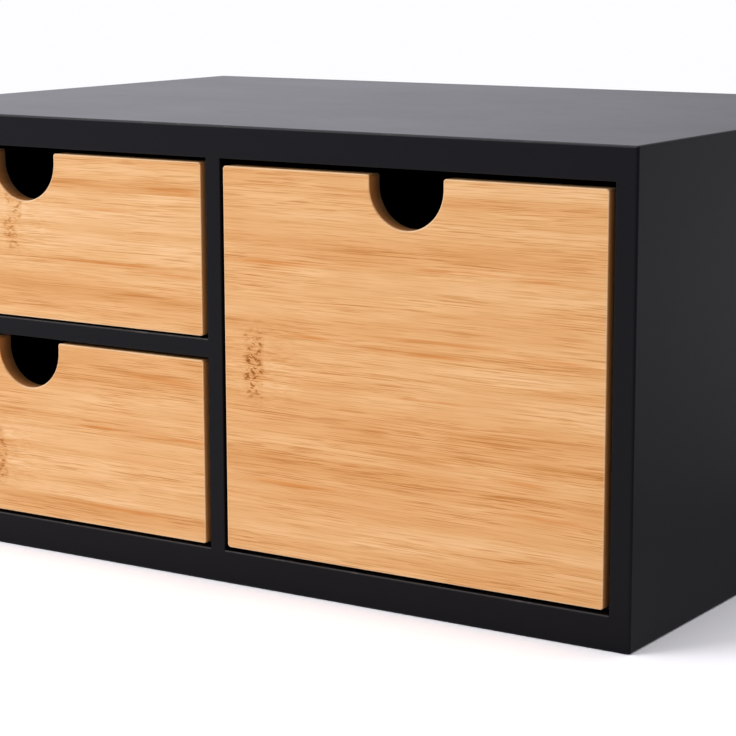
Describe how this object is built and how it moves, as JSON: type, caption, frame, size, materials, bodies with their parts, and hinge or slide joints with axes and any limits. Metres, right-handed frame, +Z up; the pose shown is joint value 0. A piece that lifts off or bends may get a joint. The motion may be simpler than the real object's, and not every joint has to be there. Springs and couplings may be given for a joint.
{
  "type": "desktop mini drawers",
  "caption": "Low desktop drawer cabinet: a black painted board case with bamboo-fronted drawers that slide out by rounded finger notches.",
  "frame": {"origin": "on the surface the cabinet stands on, under the middle of the case", "axes": "+X to the right as seen from the front, the drawer fronts face -Y and open that way, +Z up"},
  "size_m": [0.355, 0.255, 0.17],
  "materials": {
    "black_case_paint": "satin black paint on fibreboard",
    "black_box_paint": "thin matt black paint on fibreboard",
    "black_hardboard": "matt black hardboard",
    "bamboo": "laminated caramel bamboo, satin lacquer",
    "beech_dowel": "plain fluted beech",
    "brad_steel": "bright steel brads"
  },
  "bodies": {
    "case": {"top_panel": "black_case_paint", "base_panel": "black_case_paint", "left_side_panel": "black_case_paint", "right_side_panel": "black_case_paint", "centre_divider": "black_case_paint", "left_shelf": "black_case_paint", "back_panel": "black_hardboard", "top_dowels": "beech_dowel", "base_dowels": "beech_dowel", "divider_dowels": "beech_dowel", "shelf_dowels": "beech_dowel", "back_panel_brads": "brad_steel"},
    "large_drawer": {"large_drawer_front": "bamboo", "large_drawer_left_side": "black_box_paint", "large_drawer_right_side": "black_box_paint", "large_drawer_back": "black_box_paint", "large_drawer_bottom": "black_hardboard", "large_drawer_dowels": "beech_dowel", "large_drawer_brads": "brad_steel"},
    "upper_drawer": {"upper_drawer_front": "bamboo", "upper_drawer_left_side": "black_box_paint", "upper_drawer_right_side": "black_box_paint", "upper_drawer_back": "black_box_paint", "upper_drawer_bottom": "black_hardboard", "upper_drawer_dowels": "beech_dowel", "upper_drawer_brads": "brad_steel"},
    "lower_drawer": {"lower_drawer_front": "bamboo", "lower_drawer_left_side": "black_box_paint", "lower_drawer_right_side": "black_box_paint", "lower_drawer_back": "black_box_paint", "lower_drawer_bottom": "black_hardboard", "lower_drawer_dowels": "beech_dowel", "lower_drawer_brads": "brad_steel"}
  },
  "joints": [
    {"name": "large_drawer_slide", "type": "slide", "parent": "case", "child": "large_drawer", "axis": [0, -1, 0], "range_m": [0, 0.18]},
    {"name": "upper_drawer_slide", "type": "slide", "parent": "case", "child": "upper_drawer", "axis": [0, -1, 0], "range_m": [0, 0.18]},
    {"name": "lower_drawer_slide", "type": "slide", "parent": "case", "child": "lower_drawer", "axis": [0, -1, 0], "range_m": [0, 0.18]}
  ]
}
